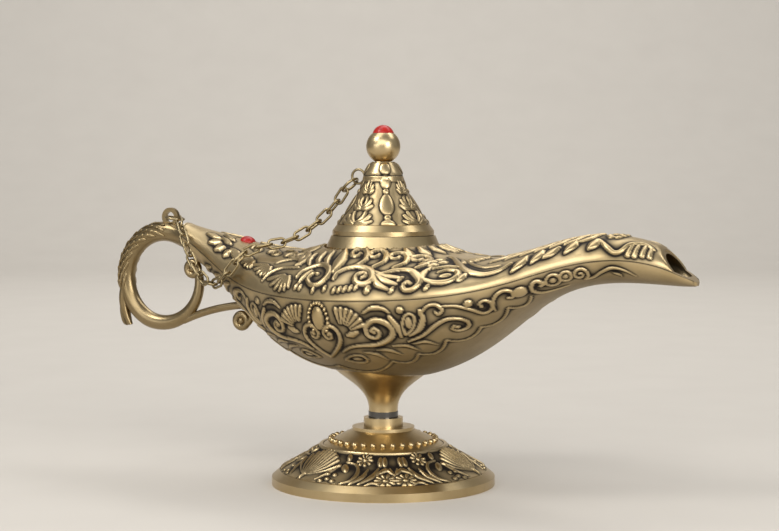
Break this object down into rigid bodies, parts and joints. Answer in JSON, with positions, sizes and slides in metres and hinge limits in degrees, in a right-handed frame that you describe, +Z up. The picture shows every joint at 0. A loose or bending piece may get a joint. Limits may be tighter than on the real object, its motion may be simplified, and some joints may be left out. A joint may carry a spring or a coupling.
{
  "type": "genie oil lamp",
  "caption": "Footed antique-brass oil lamp with a long pouring spout, scroll ring handle, domed lift-off lid with a ball and red stone, and a chain from handle to lid.",
  "frame": {"origin": "centre of the foot's underside, where the stem's axis meets the table", "axes": "+Z up along the stem, +X towards the spout, +Y to the far side"},
  "size_m": [0.2003, 0.0698, 0.1117],
  "materials": {
    "antique_brass": "cast, antiqued, worn bright on the raised parts",
    "chain_brass": "dark antique wire",
    "dark_metal": "dark polished",
    "steel": "plain",
    "red_stone": "polished cabochon"
  },
  "bodies": {
    "lamp": {"foot": "antique_brass", "stem_spacer": "dark_metal", "screw_washer": "steel", "foot_screw": "steel", "lower_bowl": "antique_brass", "upper_cover": "antique_brass", "handle": "antique_brass", "tail_stone": "red_stone"},
    "lid": {"lid": "antique_brass", "finial_ball": "antique_brass", "finial_stud": "steel", "finial_stone": "red_stone", "lid_eye": "chain_brass"},
    "lug_ring": {"lug_ring": "chain_brass"},
    "chain_link_01": {"chain_link_01": "chain_brass"},
    "chain_link_02": {"chain_link_02": "chain_brass"},
    "chain_link_03": {"chain_link_03": "chain_brass"},
    "chain_link_04": {"chain_link_04": "chain_brass"},
    "chain_link_05": {"chain_link_05": "chain_brass"},
    "chain_link_06": {"chain_link_06": "chain_brass"},
    "chain_link_07": {"chain_link_07": "chain_brass"},
    "chain_link_08": {"chain_link_08": "chain_brass"},
    "chain_link_09": {"chain_link_09": "chain_brass"},
    "chain_link_10": {"chain_link_10": "chain_brass"},
    "chain_link_11": {"chain_link_11": "chain_brass"},
    "chain_link_12": {"chain_link_12": "chain_brass"},
    "chain_link_13": {"chain_link_13": "chain_brass"},
    "chain_link_14": {"chain_link_14": "chain_brass"},
    "chain_link_15": {"chain_link_15": "chain_brass"},
    "chain_link_16": {"chain_link_16": "chain_brass"},
    "chain_link_17": {"chain_link_17": "chain_brass"},
    "chain_link_18": {"chain_link_18": "chain_brass"},
    "chain_link_19": {"chain_link_19": "chain_brass"},
    "chain_link_20": {"chain_link_20": "chain_brass"},
    "chain_link_21": {"chain_link_21": "chain_brass"},
    "lid_ring": {"lid_ring": "chain_brass"}
  },
  "joints": [
    {"name": "lid_lift", "type": "slide", "parent": "lamp", "child": "lid", "axis": [0, 0, 1], "range_m": [0, 0.025]},
    {"name": "lug_ring_swing", "type": "hinge", "parent": "lamp", "child": "lug_ring", "pos_m": [-0.0786, 0, 0.0821], "axis": [0, 1, 0], "range_deg": [-42.95, 0.5]},
    {"name": "chain_link_01_swing", "type": "hinge", "parent": "lamp", "child": "chain_link_01", "pos_m": [-0.07908, -0.00246, 0.08203], "axis": [0, 1, 0], "range_deg": [-38.83, 0.5]},
    {"name": "chain_link_02_swing", "type": "hinge", "parent": "lamp", "child": "chain_link_02", "pos_m": [-0.07979, -0.0054, 0.08205], "axis": [0, 1, 0], "range_deg": [-35.74, 0.5]},
    {"name": "chain_link_03_swing", "type": "hinge", "parent": "lamp", "child": "chain_link_03", "pos_m": [-0.08074, -0.00767, 0.08223], "axis": [0, 1, 0], "range_deg": [-33.14, 0.5]},
    {"name": "chain_link_04_swing", "type": "hinge", "parent": "lamp", "child": "chain_link_04", "pos_m": [-0.08191, -0.0095, 0.08261], "axis": [0, 1, 0], "range_deg": [-30.89, 0.5]},
    {"name": "chain_link_05_swing", "type": "hinge", "parent": "lamp", "child": "chain_link_05", "pos_m": [-0.08333, -0.01111, 0.0832], "axis": [0, 1, 0], "range_deg": [-28.89, 0.5]},
    {"name": "chain_link_06_swing", "type": "hinge", "parent": "lamp", "child": "chain_link_06", "pos_m": [-0.08502, -0.01258, 0.08399], "axis": [0, 1, 0], "range_deg": [-27.06, 0.5]},
    {"name": "chain_link_07_swing", "type": "hinge", "parent": "lamp", "child": "chain_link_07", "pos_m": [-0.08707, -0.01399, 0.08499], "axis": [0, 1, 0], "range_deg": [-25.35, 0.5]},
    {"name": "chain_link_08_swing", "type": "hinge", "parent": "lamp", "child": "chain_link_08", "pos_m": [-0.08958, -0.01555, 0.0862], "axis": [0, 1, 0], "range_deg": [-23.72, 0.5]},
    {"name": "chain_link_09_swing", "type": "hinge", "parent": "lamp", "child": "chain_link_09", "pos_m": [-0.09268, -0.0174, 0.08754], "axis": [0, 1, 0], "range_deg": [-22.12, 0.5]},
    {"name": "chain_link_10_swing", "type": "hinge", "parent": "lamp", "child": "chain_link_10", "pos_m": [-0.09652, -0.01931, 0.08894], "axis": [0, 1, 0], "range_deg": [-20.54, 0.5]},
    {"name": "chain_link_11_swing", "type": "hinge", "parent": "lamp", "child": "chain_link_11", "pos_m": [-0.10121, -0.02045, 0.09031], "axis": [0, 1, 0], "range_deg": [-18.97, 0.5]},
    {"name": "chain_link_12_swing", "type": "hinge", "parent": "lamp", "child": "chain_link_12", "pos_m": [-0.10688, -0.01971, 0.09156], "axis": [0, 1, 0], "range_deg": [-17.42, 0.5]},
    {"name": "chain_link_13_swing", "type": "hinge", "parent": "lamp", "child": "chain_link_13", "pos_m": [-0.11379, -0.01712, 0.09274], "axis": [0, 1, 0], "range_deg": [-15.89, 0.5]},
    {"name": "chain_link_14_swing", "type": "hinge", "parent": "lamp", "child": "chain_link_14", "pos_m": [-0.12248, -0.01378, 0.09397], "axis": [0, 1, 0], "range_deg": [-14.35, 0.5]},
    {"name": "chain_link_15_swing", "type": "hinge", "parent": "lamp", "child": "chain_link_15", "pos_m": [-0.13394, -0.01055, 0.09541], "axis": [0, 1, 0], "range_deg": [-12.78, 0.5]},
    {"name": "chain_link_16_swing", "type": "hinge", "parent": "lamp", "child": "chain_link_16", "pos_m": [-0.14977, -0.00768, 0.0972], "axis": [0, 1, 0], "range_deg": [-11.16, 0.5]},
    {"name": "chain_link_17_swing", "type": "hinge", "parent": "lamp", "child": "chain_link_17", "pos_m": [-0.17264, -0.00536, 0.09937], "axis": [0, 1, 0], "range_deg": [-9.49, 0.5]},
    {"name": "chain_link_18_swing", "type": "hinge", "parent": "lamp", "child": "chain_link_18", "pos_m": [-0.20804, -0.00356, 0.10207], "axis": [0, 1, 0], "range_deg": [-7.76, 0.5]},
    {"name": "chain_link_19_swing", "type": "hinge", "parent": "lamp", "child": "chain_link_19", "pos_m": [-0.26919, -0.00222, 0.10573], "axis": [0, 1, 0], "range_deg": [-5.98, 0.5]},
    {"name": "chain_link_20_swing", "type": "hinge", "parent": "lamp", "child": "chain_link_20", "pos_m": [-0.39816, -0.00129, 0.11176], "axis": [0, 1, 0], "range_deg": [-4.12, 0.5]},
    {"name": "chain_link_21_swing", "type": "hinge", "parent": "lamp", "child": "chain_link_21", "pos_m": [-0.83863, -0.00073, 0.12827], "axis": [0, 1, 0], "range_deg": [-2.18, 0.5]},
    {"name": "lid_ring_swing", "type": "hinge", "parent": "lid", "child": "lid_ring", "pos_m": [-0.00947, 0.00016, 0.09497], "axis": [0, 1, 0], "range_deg": [-12.7, 0.5]}
  ],
  "couplings": [
    {"joint": "lug_ring_swing", "follows": "lid_lift", "rad_per_m": -29.633},
    {"joint": "chain_link_01_swing", "follows": "lid_lift", "rad_per_m": -26.762},
    {"joint": "chain_link_02_swing", "follows": "lid_lift", "rad_per_m": -24.602},
    {"joint": "chain_link_03_swing", "follows": "lid_lift", "rad_per_m": -22.789},
    {"joint": "chain_link_04_swing", "follows": "lid_lift", "rad_per_m": -21.218},
    {"joint": "chain_link_05_swing", "follows": "lid_lift", "rad_per_m": -19.82},
    {"joint": "chain_link_06_swing", "follows": "lid_lift", "rad_per_m": -18.543},
    {"joint": "chain_link_07_swing", "follows": "lid_lift", "rad_per_m": -17.35},
    {"joint": "chain_link_08_swing", "follows": "lid_lift", "rad_per_m": -16.209},
    {"joint": "chain_link_09_swing", "follows": "lid_lift", "rad_per_m": -15.094},
    {"joint": "chain_link_10_swing", "follows": "lid_lift", "rad_per_m": -13.99},
    {"joint": "chain_link_11_swing", "follows": "lid_lift", "rad_per_m": -12.895},
    {"joint": "chain_link_12_swing", "follows": "lid_lift", "rad_per_m": -11.812},
    {"joint": "chain_link_13_swing", "follows": "lid_lift", "rad_per_m": -10.741},
    {"joint": "chain_link_14_swing", "follows": "lid_lift", "rad_per_m": -9.6668},
    {"joint": "chain_link_15_swing", "follows": "lid_lift", "rad_per_m": -8.5706},
    {"joint": "chain_link_16_swing", "follows": "lid_lift", "rad_per_m": -7.4402},
    {"joint": "chain_link_17_swing", "follows": "lid_lift", "rad_per_m": -6.2748},
    {"joint": "chain_link_18_swing", "follows": "lid_lift", "rad_per_m": -5.0711},
    {"joint": "chain_link_19_swing", "follows": "lid_lift", "rad_per_m": -3.824},
    {"joint": "chain_link_20_swing", "follows": "lid_lift", "rad_per_m": -2.5277},
    {"joint": "chain_link_21_swing", "follows": "lid_lift", "rad_per_m": -1.1758},
    {"joint": "lid_ring_swing", "follows": "lid_lift", "rad_per_m": -8.5144}
  ]
}
